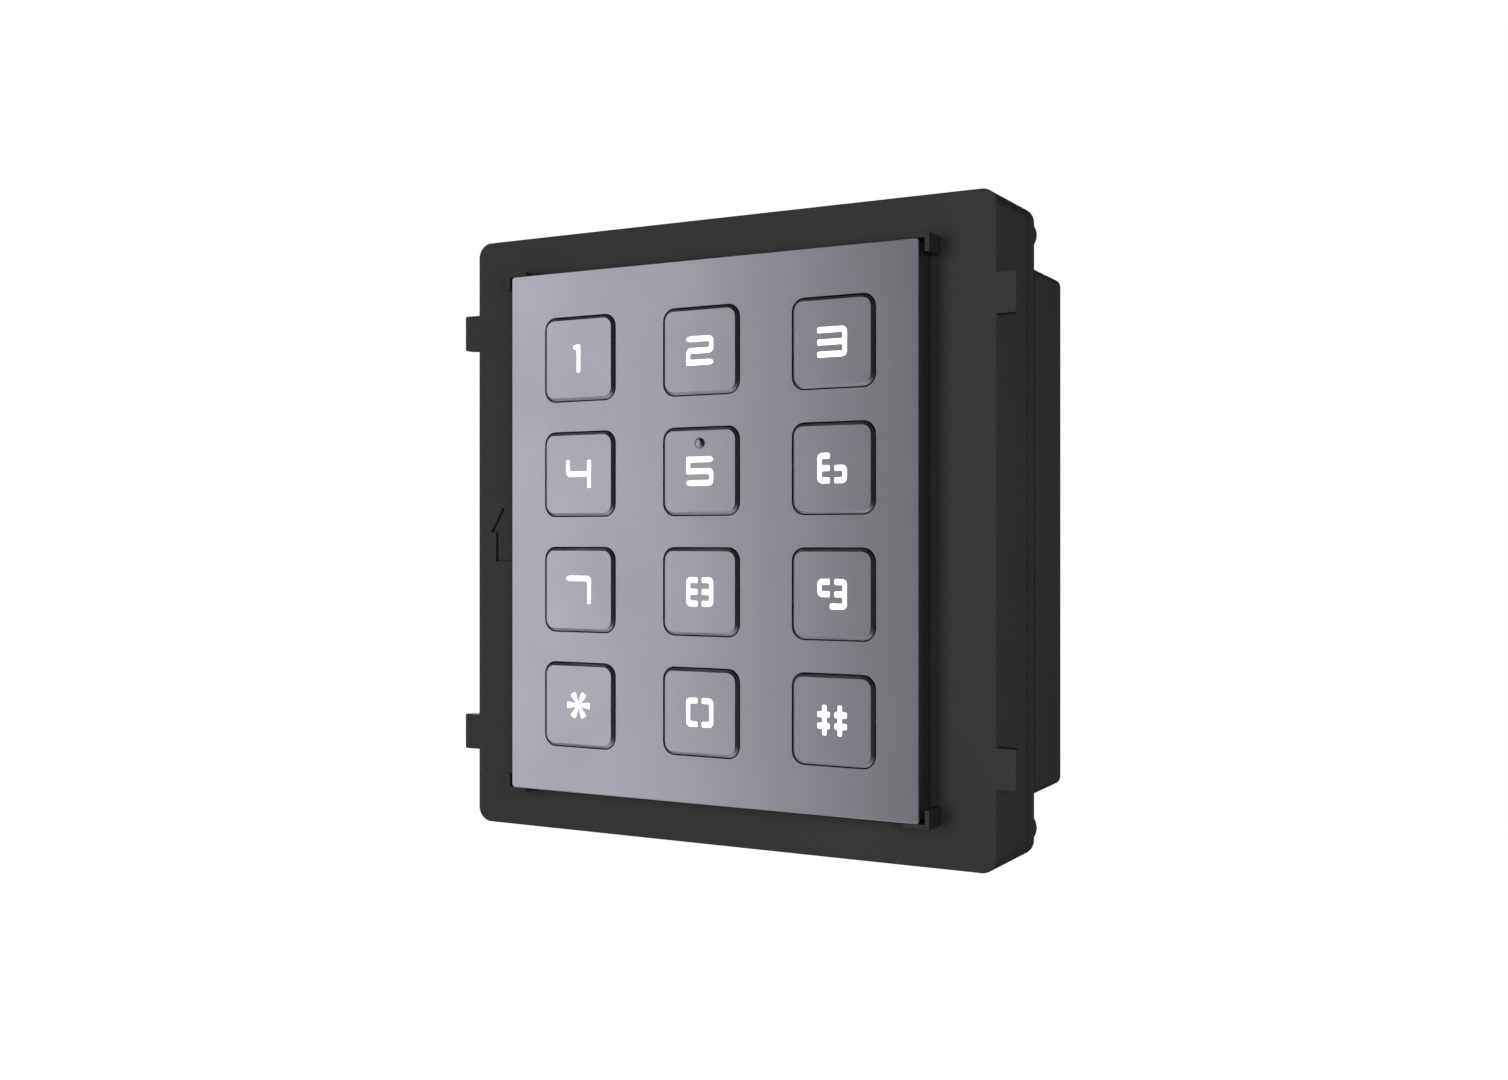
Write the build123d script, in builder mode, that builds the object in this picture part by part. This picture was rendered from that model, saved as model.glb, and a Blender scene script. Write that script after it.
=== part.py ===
from build123d import *

import os

# Flush keypad module for a modular entry panel: black two-part housing, metal face plate, twelve keys.
#
# The module's front faces -Y, +X is to the right of someone facing it, and +Z is up. The origin is the
# centre of the flat rear face. Every height below is measured forwards from that rear face, so a plane
# at height h is Plane.XZ.offset(h), whose own x and y run along +X and +Z.

# ---------------------------------------------------------------------------------------------------
# Driving dimensions, in millimetres
# ---------------------------------------------------------------------------------------------------

# Housing
shell_width = 94.8
shell_height = 100.0
shell_corner_radius = 2.5
shell_wall = 2.0
shell_edge_radius = 0.3
front_shell_depth = 13.1
seam_gap = 0.4
cover_lip_depth = 3.1
cover_lip_edge_radius = 0.3
rear_box_depth = 12.9
rear_box_height = 81.8
rear_box_draft = 0.16
rear_box_corner_radius = 1.4
rear_box_edge_radius = 0.3
pedestal_rise = 3.38
pedestal_inset = 0.15
pedestal_wall = 2.0
pedestal_front_wall = 1.6

# Snap tabs on the housing's two sides
tab_reach = 2.85
tab_height = 6.0
tab_thickness = 2.0
tab_spacing = 69.2
tab_lead_in = 0.9
tab_corner_radius = 0.3

# Corner hooks around the face plate
hook_rise = 3.95
hook_wall = 0.7
hook_side_gap = 0.725
hook_end_gap = 0.05
hook_level_length = 4.1
hook_upright_length = 2.8

# Arrow pocket that marks the top of the module
arrow_depth = 0.4
arrow_length = 9.3
arrow_head_length = 4.3
arrow_head_width = 5.2
arrow_stem_width = 3.1

# Face plate
plate_width = 73.95
plate_height = 85.7
plate_thickness = 0.75
plate_corner_radius = 0.6
plate_edge_chamfer = 0.12
adhesive_thickness = 0.15
adhesive_inset = 0.5

# Keys
key_size = 13.65
key_corner_radius = 1.9
key_gap = 0.2
key_proud = 0.45
key_chamfer = 0.45
key_edge_radius = 0.08
key_face_thickness = 1.2
key_skirt_wall = 1.5
key_flange_width = 0.7
key_flange_thickness = 1.0
key_flange_gap = 0.05
key_pitch_x = 23.07
key_pitch_z = 18.93
key_travel = 1.0
locating_pip_diameter = 1.6
locating_pip_rise = 0.5
locating_pip_shoulder = 0.05
locating_pip_offset = 4.4

# Legends
legend_width = 4.93
legend_height = 4.6
legend_bar = 0.91
legend_stem = 0.73
legend_split = 0.77
legend_corner_radius = 0.82
legend_end_radius = 0.22
legend_taper = 0.9
legend_cross_spacing = 1.72
legend_cross_stems = 2.56
legend_flag_reach = 1.08
legend_petal_length = 2.24
legend_petal_root = 0.34
legend_petal_tip = 1.16

# Silicone key mat
mat_thickness = 1.0
mat_edge_gap = 0.6
dome_rise = 1.6
dome_base_radius = 4.2
dome_top_radius = 2.8
dome_wall = 0.6
pill_radius = 1.5
pill_thickness = 0.4
pill_gap = 0.1
light_slot_width = 3.0
light_slot_height = 2.2

# Light wells between the keys
well_rib = 1.2
well_rib_gap = 0.05
well_flange_gap = 0.2

# Boards
board_thickness = 1.6
board_edge_gap = 1.4
board_post_gap = 0.7
board_boss_height = 3.0
board_boss_radius = 2.4
board_boss_inset = 6.9
board_boss_spacing = 30.0
board_corner_radius = 1.0
interface_width = 60.0
interface_height = 70.0
interface_hole_inset = 4.0
standoff_radius = 2.6

# Parts on the keypad board
led_length = 2.0
led_width = 1.25
led_height = 0.8
led_offset = 5.6
chip_size = 10.0
chip_height = 1.4
chip_lead_count = 8
chip_lead_pitch = 1.0
chip_lead_width = 0.4
chip_lead_reach = 1.0
chip_lead_thickness = 0.2
chip_position = (-15.0, 12.0)
capacitor_radius = 2.5
capacitor_height = 7.0
capacitor_spacing = 9.0
capacitor_position = (-20.0, -24.0)

# Parts on the interface board
driver_width = 5.0
driver_length = 6.2
driver_height = 1.6
driver_position = (-15.0, -12.0)
pin_pitch = 2.54
pin_side = 0.64
pin_hole_diameter = 1.0
pin_tail = 1.0
link_position = (20.0, 0.0)
link_count = 8
link_width = 2.5
link_header_height = 2.5
link_pin_length = 6.0
link_slot_side = 0.74

# Bus sockets
socket_offset = 24.0
socket_columns = 3
socket_rows = 2
socket_width = 15.2
socket_height = 8.9
socket_depth = 9.1
socket_wall = 1.25
socket_floor = 2.7
socket_key_width = 4.5
socket_recess = 0.5
socket_window_gap = 0.4
socket_pin_length = 5.2

# Address switch
switch_position = (-18.0, 0.0)
switch_ways = 4
switch_length = 11.7
switch_width = 6.6
switch_body_height = 6.0
switch_window_gap = 1.2
slider_width = 1.2
slider_length = 1.6
slider_rise = 0.9
slider_root = 0.7
slider_travel = 1.6
slider_gap = 0.1

# Screws
screw_post_diameter = 5.3
screw_post_inset = 3.6
screw_boss_rise = 3.8
cover_screw_length = 12.0
board_screw_length = 5.2
screw_diameter = 2.2
screw_hole_gap = 0.3
screw_head_diameter = 4.0
screw_head_height = 1.5
screw_head_gap = 0.3
screw_head_sink = 0.15
screw_head_edge_radius = 0.5
screw_pilot_spare = 0.5
screw_slot_width = 0.7
screw_slot_length = 2.6
screw_slot_depth = 0.8

# Ribs that locate the cover inside the front housing
rib_gap = 0.15
rib_thickness = 1.0
rib_width = 6.0
rib_reach = 2.0
rib_side_spacing = 26.0
rib_end_spacing = 44.0

# Gasket and label
gasket_inset = 0.5
gasket_eyelet_diameter = 4.9
label_width = 30.0
label_height = 22.0
label_thickness = 0.15
label_recess = 0.2
label_margin = 0.5
label_position = (26.0, 0.0)
label_corner_radius = 1.0

# ---------------------------------------------------------------------------------------------------
# Heights above the rear face, and outlines that several pieces share
# ---------------------------------------------------------------------------------------------------

seam_back = rear_box_depth + cover_lip_depth
seam_front = seam_back + seam_gap
flange_front = seam_front + front_shell_depth
flange_back = flange_front - shell_wall
pedestal_front = flange_front + pedestal_rise
pedestal_back = pedestal_front - pedestal_front_wall
plate_back = pedestal_front + adhesive_thickness
plate_front = plate_back + plate_thickness
key_front = plate_front + key_proud
key_cap_back = key_front - key_face_thickness
key_flange_front = pedestal_back - key_flange_gap
key_back = key_flange_front - key_flange_thickness

keypad_board_front = flange_back - board_boss_height
keypad_board_back = keypad_board_front - board_thickness
mat_front = keypad_board_front + mat_thickness
dome_top = mat_front + dome_rise
pill_back = keypad_board_front + key_travel + pill_gap
pill_front = pill_back + pill_thickness

interface_back = socket_recess + socket_depth
interface_front = interface_back + board_thickness
switch_face = interface_back - switch_body_height

inner_width = shell_width - 2 * shell_wall
inner_height = shell_height - 2 * shell_wall
inner_corner_radius = shell_corner_radius - shell_wall
pedestal_width = plate_width - 2 * pedestal_inset
pedestal_height = plate_height - 2 * pedestal_inset
pedestal_inner_width = pedestal_width - 2 * pedestal_wall
pedestal_inner_height = pedestal_height - 2 * pedestal_wall
aperture_size = key_size + 2 * key_gap
aperture_corner_radius = key_corner_radius + key_gap
key_flange_size = key_size + 2 * key_flange_width
key_well_size = key_flange_size + 2 * well_flange_gap
post_spacing_x = shell_width - 2 * screw_post_inset
post_spacing_z = shell_height - 2 * screw_post_inset
post_radius = screw_post_diameter / 2
board_width = inner_width - 2 * board_edge_gap
board_height = post_spacing_z - screw_post_diameter - board_post_gap
boss_spacing_x = shell_width - 2 * board_boss_inset
standoff_spacing_x = interface_width - 2 * interface_hole_inset
standoff_spacing_z = interface_height - 2 * interface_hole_inset
lip_floor = rear_box_depth + shell_wall
counterbore_back = rear_box_depth - screw_boss_rise
counterbore_depth = screw_head_height + screw_head_sink
counterbore_diameter = screw_head_diameter + screw_head_gap
screw_hole_diameter = screw_diameter + screw_hole_gap

os.makedirs("parts", exist_ok=True)

key_rows = (("1", "2", "3"), ("4", "5", "6"), ("7", "8", "9"), ("star", "0", "hash"))


def key_centre(row, column):
    """The place of one key on the face, counted from the top row and the left column."""
    x = (column - (len(key_rows[0]) - 1) / 2) * key_pitch_x
    z = ((len(key_rows) - 1) / 2 - row) * key_pitch_z
    return x, z


def key_grid():
    """The places of all the keys."""
    return GridLocations(key_pitch_x, key_pitch_z, len(key_rows[0]), len(key_rows))


# ---------------------------------------------------------------------------------------------------
# Legends: level bars and upright stems on a frame of five by five, split in the middle where a
# number would otherwise close on itself
# ---------------------------------------------------------------------------------------------------

left = -legend_width / 2
right = legend_width / 2
top = legend_height / 2
bottom = -legend_height / 2
upper = top - legend_bar / 2
middle = 0.0
lower = bottom + legend_bar / 2
under_middle = -legend_bar / 2
over_middle = legend_bar / 2
split_left = -legend_split / 2
split_right = legend_split / 2
left_stem = left + legend_stem / 2
right_stem = right - legend_stem / 2

# Each legend: bars as (level, from, to), stems as (place, from, to), the corners that are well
# rounded, and the bar ends that taper, as (level, tip).
legends = {
    "1": {
        "bars": [(upper, -legend_flag_reach, 0)],
        "stems": [(0, bottom, top)],
        "corners": [],
        "tapers": [(upper, -legend_flag_reach)],
    },
    "2": {
        "bars": [(upper, left, right), (middle, left, right), (lower, left, right)],
        "stems": [(right_stem, under_middle, top), (left_stem, bottom, over_middle)],
        "corners": [(right, top), (right, under_middle), (left, over_middle)],
        "tapers": [(upper, left), (lower, right)],
    },
    "3": {
        "bars": [(upper, left, right), (middle, left, right), (lower, left, right)],
        "stems": [(right_stem, bottom, top)],
        "corners": [(right, top), (right, bottom)],
        "tapers": [],
    },
    "4": {
        "bars": [(middle, left, right)],
        "stems": [(left_stem, under_middle, top), (right_stem, bottom, top)],
        "corners": [(left, under_middle)],
        "tapers": [],
    },
    "5": {
        "bars": [(upper, left, right), (middle, left, right), (lower, left, right)],
        "stems": [(left_stem, under_middle, top), (right_stem, bottom, over_middle)],
        "corners": [(right, over_middle), (right, bottom)],
        "tapers": [(upper, right), (lower, left)],
    },
    "6": {
        "bars": [
            (upper, left, split_left), (middle, left, split_left), (lower, left, split_left),
            (middle, split_right, right), (lower, split_right, right),
        ],
        "stems": [(left_stem, bottom, top), (right_stem, bottom, over_middle)],
        "corners": [(left, top), (left, bottom), (right, over_middle), (right, bottom)],
        "tapers": [],
    },
    "7": {
        "bars": [(upper, left, right)],
        "stems": [(right_stem, bottom, top)],
        "corners": [(right, top)],
        "tapers": [(upper, left)],
    },
    "8": {
        "bars": [
            (upper, left, split_left), (middle, left, split_left), (lower, left, split_left),
            (upper, split_right, right), (middle, split_right, right), (lower, split_right, right),
        ],
        "stems": [(left_stem, bottom, top), (right_stem, bottom, top)],
        "corners": [(left, top), (left, bottom), (right, top), (right, bottom)],
        "tapers": [],
    },
    "9": {
        "bars": [
            (upper, left, split_left), (middle, left, split_left),
            (upper, split_right, right), (middle, split_right, right), (lower, split_left, right),
        ],
        "stems": [(left_stem, under_middle, top), (right_stem, bottom, top)],
        "corners": [(left, top), (left, under_middle), (right, top), (right, bottom)],
        "tapers": [],
    },
    "0": {
        "bars": [
            (upper, left, split_left), (lower, left, split_left),
            (upper, split_right, right), (lower, split_right, right),
        ],
        "stems": [(left_stem, bottom, top), (right_stem, bottom, top)],
        "corners": [(left, top), (left, bottom), (right, top), (right, bottom)],
        "tapers": [],
    },
    "hash": {
        "bars": [
            (legend_cross_spacing / 2, left, split_left), (-legend_cross_spacing / 2, left, split_left),
            (legend_cross_spacing / 2, split_right, right), (-legend_cross_spacing / 2, split_right, right),
        ],
        "stems": [(-legend_cross_stems / 2, bottom, top), (legend_cross_stems / 2, bottom, top)],
        "corners": [],
        "tapers": [],
    },
}


def star_outline():
    """Six petals that widen outwards."""
    with BuildSketch() as petal:
        Polygon(
            (0, -legend_petal_root / 2),
            (legend_petal_length, -legend_petal_tip / 2),
            (legend_petal_length, legend_petal_tip / 2),
            (0, legend_petal_root / 2),
            align=None,
        )
        fillet(petal.vertices().group_by(Axis.X)[-1], legend_end_radius)
    with BuildSketch() as outline:
        with PolarLocations(0, 6):
            add(petal.sketch)
    return outline.sketch


def taper_outline():
    """Half an ellipse, pointing left, that ends a tapered bar."""
    with BuildSketch() as outline:
        Ellipse(legend_taper, legend_bar / 2)
        Rectangle(legend_taper, legend_bar, align=(Align.MIN, Align.CENTER), mode=Mode.SUBTRACT)
    return outline.sketch


def number_outline(strokes):
    """The outline of one legend, from its bars and stems."""
    taper_roots = []
    with BuildSketch() as outline:
        for level, start, end in strokes["bars"]:
            if (level, start) in strokes["tapers"]:
                start += legend_taper
                taper_roots.append(Location((start, level)))
            if (level, end) in strokes["tapers"]:
                end -= legend_taper
                taper_roots.append(Location((end, level), (0, 0, 180)))
            with Locations(((start + end) / 2, level)):
                Rectangle(end - start, legend_bar)
        for place, start, end in strokes["stems"]:
            with Locations((place, (start + end) / 2)):
                Rectangle(legend_stem, end - start)
        kept_sharp = [
            root.position + Vector(0, side * legend_bar / 2) for root in taper_roots for side in (-1, 1)
        ]
        rounded = [Vector(*corner) for corner in strokes["corners"]]
        small = [
            vertex for vertex in outline.vertices()
            if all((Vector(vertex) - point).length > legend_end_radius for point in kept_sharp + rounded)
        ]
        fillet(small, legend_end_radius)
        for corner in rounded:
            fillet(outline.vertices().sort_by_distance(corner)[0], legend_corner_radius)
        with Locations(*taper_roots):
            add(taper_outline())
    return outline.sketch


def legend_outline(name):
    """The outline of the legend on one key."""
    if name == "star":
        return star_outline()
    return number_outline(legends[name])


# ---------------------------------------------------------------------------------------------------
# Front housing: shell, pedestal, light wells, corner hooks, snap tabs, posts and bosses
# ---------------------------------------------------------------------------------------------------

with BuildPart() as front_housing:
    with BuildSketch(Plane.XZ.offset(seam_front)):
        RectangleRounded(shell_width, shell_height, shell_corner_radius)
    extrude(amount=front_shell_depth)
    fillet(front_housing.faces().sort_by(Axis.Y)[0].edges(), shell_edge_radius)
    with BuildSketch(Plane.XZ.offset(flange_front)):
        RectangleRounded(pedestal_width, pedestal_height, plate_corner_radius)
    extrude(amount=pedestal_rise)
    with BuildSketch(Plane.XZ.offset(seam_front)):
        RectangleRounded(inner_width, inner_height, inner_corner_radius)
    extrude(amount=flange_back - seam_front, mode=Mode.SUBTRACT)
    with BuildSketch(Plane.XZ.offset(flange_back)):
        Rectangle(pedestal_inner_width, pedestal_inner_height)
    extrude(amount=pedestal_back - flange_back, mode=Mode.SUBTRACT)

    # Ribs between the keys press the mat down and keep each key's light in its own well
    with BuildSketch(Plane.XZ.offset(mat_front + well_rib_gap)):
        with GridLocations(key_pitch_x, 0, len(key_rows[0]) - 1, 1):
            Rectangle(well_rib, pedestal_inner_height)
        with GridLocations(0, key_pitch_z, 1, len(key_rows) - 1):
            Rectangle(pedestal_inner_width, well_rib)
    extrude(amount=pedestal_back - mat_front - well_rib_gap)

    # Each key's flange keeps a clear well between the ribs, however wide the flange is
    with BuildSketch(Plane.XZ.offset(mat_front + well_rib_gap)):
        with key_grid():
            Rectangle(key_well_size, key_well_size)
    extrude(amount=pedestal_back - mat_front - well_rib_gap, mode=Mode.SUBTRACT)
    with BuildSketch(Plane.XZ.offset(pedestal_back)):
        with key_grid():
            RectangleRounded(aperture_size, aperture_size, aperture_corner_radius)
    extrude(amount=pedestal_front_wall, mode=Mode.SUBTRACT)

    # Corner hooks, each an L around one corner of the face plate
    for x_side in (-1, 1):
        for z_side in (-1, 1):
            outer_x = x_side * (plate_width / 2 + hook_side_gap + hook_wall)
            outer_z = z_side * (plate_height / 2 + hook_end_gap + hook_wall)
            inner_x = outer_x - x_side * hook_wall
            inner_z = outer_z - z_side * hook_wall
            tip_x = outer_x - x_side * hook_level_length
            tip_z = outer_z - z_side * hook_upright_length
            with BuildSketch(Plane.XZ.offset(flange_front)):
                with BuildLine():
                    Polyline(
                        (outer_x, outer_z), (tip_x, outer_z), (tip_x, inner_z), (inner_x, inner_z),
                        (inner_x, tip_z), (outer_x, tip_z), close=True,
                    )
                make_face()
            extrude(amount=hook_rise)

    # Snap tabs, flush with the flange, with a lead-in on the rear of each tip
    for side in (-1, 1):
        root = side * (shell_width / 2 - shell_edge_radius)
        tip = side * (shell_width / 2 + tab_reach)
        with GridLocations(0, tab_spacing, 1, 2) as tab_places:
            tab_levels = [place.position.Y for place in tab_places.locations]
        for level in tab_levels:
            with BuildSketch(Plane.XY.offset(level - tab_height / 2)):
                with BuildLine():
                    Polyline(
                        (root, -flange_front), (tip, -flange_front),
                        (tip, -flange_front + tab_thickness - tab_lead_in),
                        (tip - side * tab_lead_in, -flange_front + tab_thickness),
                        (root, -flange_front + tab_thickness), close=True,
                    )
                make_face()
            extrude(amount=tab_height)
    tab_tip_faces = front_housing.faces().filter_by(Axis.X).filter_by(
        lambda face: abs(abs(face.center().X) - shell_width / 2 - tab_reach) < tab_corner_radius
    )
    fillet(tab_tip_faces.edges().filter_by(Axis.Y), tab_corner_radius)

    # Screw posts in the four corners and bosses for the keypad board
    with BuildSketch(Plane.XZ.offset(seam_front)):
        with GridLocations(post_spacing_x, post_spacing_z, 2, 2):
            Circle(post_radius)
    extrude(amount=flange_back - seam_front)
    with BuildSketch(Plane.XZ.offset(keypad_board_front)):
        with GridLocations(boss_spacing_x, board_boss_spacing, 2, 3):
            Circle(board_boss_radius)
    extrude(amount=board_boss_height)
    cover_screw_engagement = cover_screw_length - (seam_front - counterbore_back - counterbore_depth)
    with BuildSketch(Plane.XZ.offset(seam_front)):
        with GridLocations(post_spacing_x, post_spacing_z, 2, 2):
            Circle(screw_diameter / 2)
    extrude(amount=cover_screw_engagement + screw_pilot_spare, mode=Mode.SUBTRACT)
    with BuildSketch(Plane.XZ.offset(keypad_board_front)):
        with GridLocations(boss_spacing_x, board_boss_spacing, 2, 3):
            Circle(screw_diameter / 2)
    extrude(amount=board_screw_length - board_thickness + screw_pilot_spare, mode=Mode.SUBTRACT)

    # Arrow pocket, halfway between the pedestal and the housing's left edge
    arrow_x = -(pedestal_width + shell_width) / 4
    with BuildSketch(Plane.XZ.offset(flange_front - arrow_depth)):
        with Locations((arrow_x, 0)):
            Polygon(
                (0, arrow_head_length),
                (-arrow_head_width / 2, 0),
                (-arrow_stem_width / 2, 0),
                (-arrow_stem_width / 2, arrow_head_length - arrow_length),
                (arrow_stem_width / 2, arrow_head_length - arrow_length),
                (arrow_stem_width / 2, 0),
                (arrow_head_width / 2, 0),
                align=None,
            )
    extrude(amount=arrow_depth, mode=Mode.SUBTRACT)
front_housing.part.label = "front_housing"
export_step(front_housing.part, "parts/front_housing.step")

# ---------------------------------------------------------------------------------------------------
# Face plate and the adhesive film under it
# ---------------------------------------------------------------------------------------------------

with BuildPart() as face_plate:
    with BuildSketch(Plane.XZ.offset(plate_back)):
        RectangleRounded(plate_width, plate_height, plate_corner_radius)
        with key_grid():
            RectangleRounded(aperture_size, aperture_size, aperture_corner_radius, mode=Mode.SUBTRACT)
    extrude(amount=plate_thickness)
    chamfer(face_plate.faces().sort_by(Axis.Y)[0].outer_wire().edges(), plate_edge_chamfer)
face_plate.part.label = "face_plate"
export_step(face_plate.part, "parts/face_plate.step")

with BuildPart() as plate_adhesive:
    with BuildSketch(Plane.XZ.offset(pedestal_front)):
        Rectangle(plate_width - 2 * adhesive_inset, plate_height - 2 * adhesive_inset)
        with key_grid():
            window = aperture_size + 2 * adhesive_inset
            RectangleRounded(window, window, aperture_corner_radius, mode=Mode.SUBTRACT)
    extrude(amount=adhesive_thickness)
plate_adhesive.part.label = "plate_adhesive"
export_step(plate_adhesive.part, "parts/plate_adhesive.step")

# ---------------------------------------------------------------------------------------------------
# Keys and the light-guiding legends moulded into them
# ---------------------------------------------------------------------------------------------------

key_hollow_size = key_size - 2 * key_skirt_wall

for row, names in enumerate(key_rows):
    for column, name in enumerate(names):
        x, z = key_centre(row, column)

        with BuildPart() as key:
            with BuildSketch(Plane.XZ.offset(key_back)):
                with Locations((x, z)):
                    RectangleRounded(key_size, key_size, key_corner_radius)
            extrude(amount=key_front - key_back)
            chamfer(key.faces().sort_by(Axis.Y)[0].edges(), key_chamfer)
            fillet(key.faces().sort_by(Axis.Y)[0].edges(), key_edge_radius)
            with BuildSketch(Plane.XZ.offset(key_back)):
                with Locations((x, z)):
                    RectangleRounded(key_flange_size, key_flange_size, key_corner_radius)
            extrude(amount=key_flange_thickness)
            with BuildSketch(Plane.XZ.offset(key_back)):
                with Locations((x, z)):
                    Rectangle(key_hollow_size, key_hollow_size)
            extrude(amount=key_cap_back - key_back, mode=Mode.SUBTRACT)
            with BuildSketch(Plane.XZ.offset(key_cap_back)):
                with Locations((x, z)):
                    add(legend_outline(name))
            extrude(amount=key_face_thickness, mode=Mode.SUBTRACT)
            if name == "5":
                with BuildSketch(Plane.XZ.offset(key_front)):
                    with Locations((x, z + locating_pip_offset)):
                        Circle(locating_pip_diameter / 2)
                extrude(amount=locating_pip_rise)
                pip_rim = key.faces().sort_by(Axis.Y)[0].edges()
                fillet(pip_rim, locating_pip_rise - locating_pip_shoulder)
        key.part.label = f"key_{name}"
        export_step(key.part, f"parts/key_{name}.step")

        with BuildPart() as legend:
            with BuildSketch(Plane.XZ.offset(dome_top)):
                with Locations((x, z)):
                    Rectangle(key_hollow_size, key_hollow_size)
            extrude(amount=key_cap_back - dome_top)
            with BuildSketch(Plane.XZ.offset(key_cap_back)):
                with Locations((x, z)):
                    add(legend_outline(name))
            extrude(amount=key_face_thickness)
        legend.part.label = f"legend_{name}"
        export_step(legend.part, f"parts/legend_{name}.step")

# ---------------------------------------------------------------------------------------------------
# Silicone key mat and the conductive pills under its domes
# ---------------------------------------------------------------------------------------------------

mat_width = pedestal_inner_width - 2 * mat_edge_gap
mat_height = pedestal_inner_height - 2 * mat_edge_gap

with BuildPart() as silicone_keymat:
    with BuildSketch(Plane.XZ.offset(keypad_board_front)):
        Rectangle(mat_width, mat_height)
        for row in range(len(key_rows)):
            for column in range(len(key_rows[0])):
                x, z = key_centre(row, column)
                with Locations((x, z - led_offset)):
                    Rectangle(light_slot_width, light_slot_height, mode=Mode.SUBTRACT)
    extrude(amount=mat_thickness)
    with Locations(Plane.XZ.offset(mat_front)):
        with key_grid():
            Cone(
                dome_base_radius, dome_top_radius, dome_rise,
                align=(Align.CENTER, Align.CENTER, Align.MIN),
            )
    with Locations(Plane.XZ.offset(keypad_board_front)):
        with key_grid():
            Cone(
                dome_base_radius - dome_wall, dome_top_radius - dome_wall, pill_front - keypad_board_front,
                align=(Align.CENTER, Align.CENTER, Align.MIN), mode=Mode.SUBTRACT,
            )
silicone_keymat.part.label = "silicone_keymat"
export_step(silicone_keymat.part, "parts/silicone_keymat.step")

with BuildPart() as carbon_pills:
    with BuildSketch(Plane.XZ.offset(pill_back)):
        with key_grid():
            Circle(pill_radius)
    extrude(amount=pill_thickness)
carbon_pills.part.label = "carbon_pills"
export_step(carbon_pills.part, "parts/carbon_pills.step")

# ---------------------------------------------------------------------------------------------------
# Keypad board and what is soldered to it
# ---------------------------------------------------------------------------------------------------

with BuildPart() as keypad_board:
    with BuildSketch(Plane.XZ.offset(keypad_board_back)):
        RectangleRounded(board_width, board_height, board_corner_radius)
        with GridLocations(boss_spacing_x, board_boss_spacing, 2, 3):
            Circle(screw_hole_diameter / 2, mode=Mode.SUBTRACT)
    extrude(amount=board_thickness)
keypad_board.part.label = "keypad_board"
export_step(keypad_board.part, "parts/keypad_board.step")

with BuildPart() as backlight_leds:
    with BuildSketch(Plane.XZ.offset(keypad_board_front)):
        with Locations((0, -led_offset)):
            with key_grid():
                Rectangle(led_length, led_width)
    extrude(amount=led_height)
backlight_leds.part.label = "backlight_leds"
export_step(backlight_leds.part, "parts/backlight_leds.step")

chip_lead_span = chip_size + 2 * chip_lead_reach

with BuildPart() as controller_chip:
    with BuildSketch(Plane.XZ.offset(keypad_board_back)):
        with Locations(chip_position):
            Rectangle(chip_size, chip_size)
    extrude(amount=-chip_height)
    with BuildSketch(Plane.XZ.offset(keypad_board_back)):
        with Locations(chip_position):
            with GridLocations(chip_lead_pitch, 0, chip_lead_count, 1):
                Rectangle(chip_lead_width, chip_lead_span)
            with GridLocations(0, chip_lead_pitch, 1, chip_lead_count):
                Rectangle(chip_lead_span, chip_lead_width)
    extrude(amount=-chip_lead_thickness)
controller_chip.part.label = "controller_chip"
export_step(controller_chip.part, "parts/controller_chip.step")

with BuildPart() as capacitors:
    with BuildSketch(Plane.XZ.offset(keypad_board_back)):
        with Locations(capacitor_position):
            with GridLocations(capacitor_spacing, 0, 2, 1):
                Circle(capacitor_radius)
    extrude(amount=-capacitor_height)
capacitors.part.label = "capacitors"
export_step(capacitors.part, "parts/capacitors.step")

# ---------------------------------------------------------------------------------------------------
# Interface board, its link to the keypad board and its bus driver
# ---------------------------------------------------------------------------------------------------

with BuildPart() as interface_board:
    with BuildSketch(Plane.XZ.offset(interface_back)):
        RectangleRounded(interface_width, interface_height, board_corner_radius)
        with GridLocations(standoff_spacing_x, standoff_spacing_z, 2, 2):
            Circle(screw_hole_diameter / 2, mode=Mode.SUBTRACT)
        with Locations(link_position):
            with GridLocations(0, pin_pitch, 1, link_count):
                Circle(pin_hole_diameter / 2, mode=Mode.SUBTRACT)
        for side in (-1, 1):
            with Locations((0, side * socket_offset)):
                with GridLocations(pin_pitch, pin_pitch, socket_columns, socket_rows):
                    Circle(pin_hole_diameter / 2, mode=Mode.SUBTRACT)
    extrude(amount=board_thickness)
interface_board.part.label = "interface_board"
export_step(interface_board.part, "parts/interface_board.step")

link_length = pin_pitch * link_count
link_header_front = interface_front + link_header_height

with BuildPart() as link_header:
    with BuildSketch(Plane.XZ.offset(interface_front)):
        with Locations(link_position):
            Rectangle(link_width, link_length)
            with GridLocations(0, pin_pitch, 1, link_count):
                Rectangle(pin_side, pin_side, mode=Mode.SUBTRACT)
    extrude(amount=link_header_height)
link_header.part.label = "link_header"
export_step(link_header.part, "parts/link_header.step")

with BuildPart() as link_pins:
    with BuildSketch(Plane.XZ.offset(interface_back - pin_tail)):
        with Locations(link_position):
            with GridLocations(0, pin_pitch, 1, link_count):
                Rectangle(pin_side, pin_side)
    extrude(amount=pin_tail + board_thickness + link_header_height + link_pin_length)
link_pins.part.label = "link_pins"
export_step(link_pins.part, "parts/link_pins.step")

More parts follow.
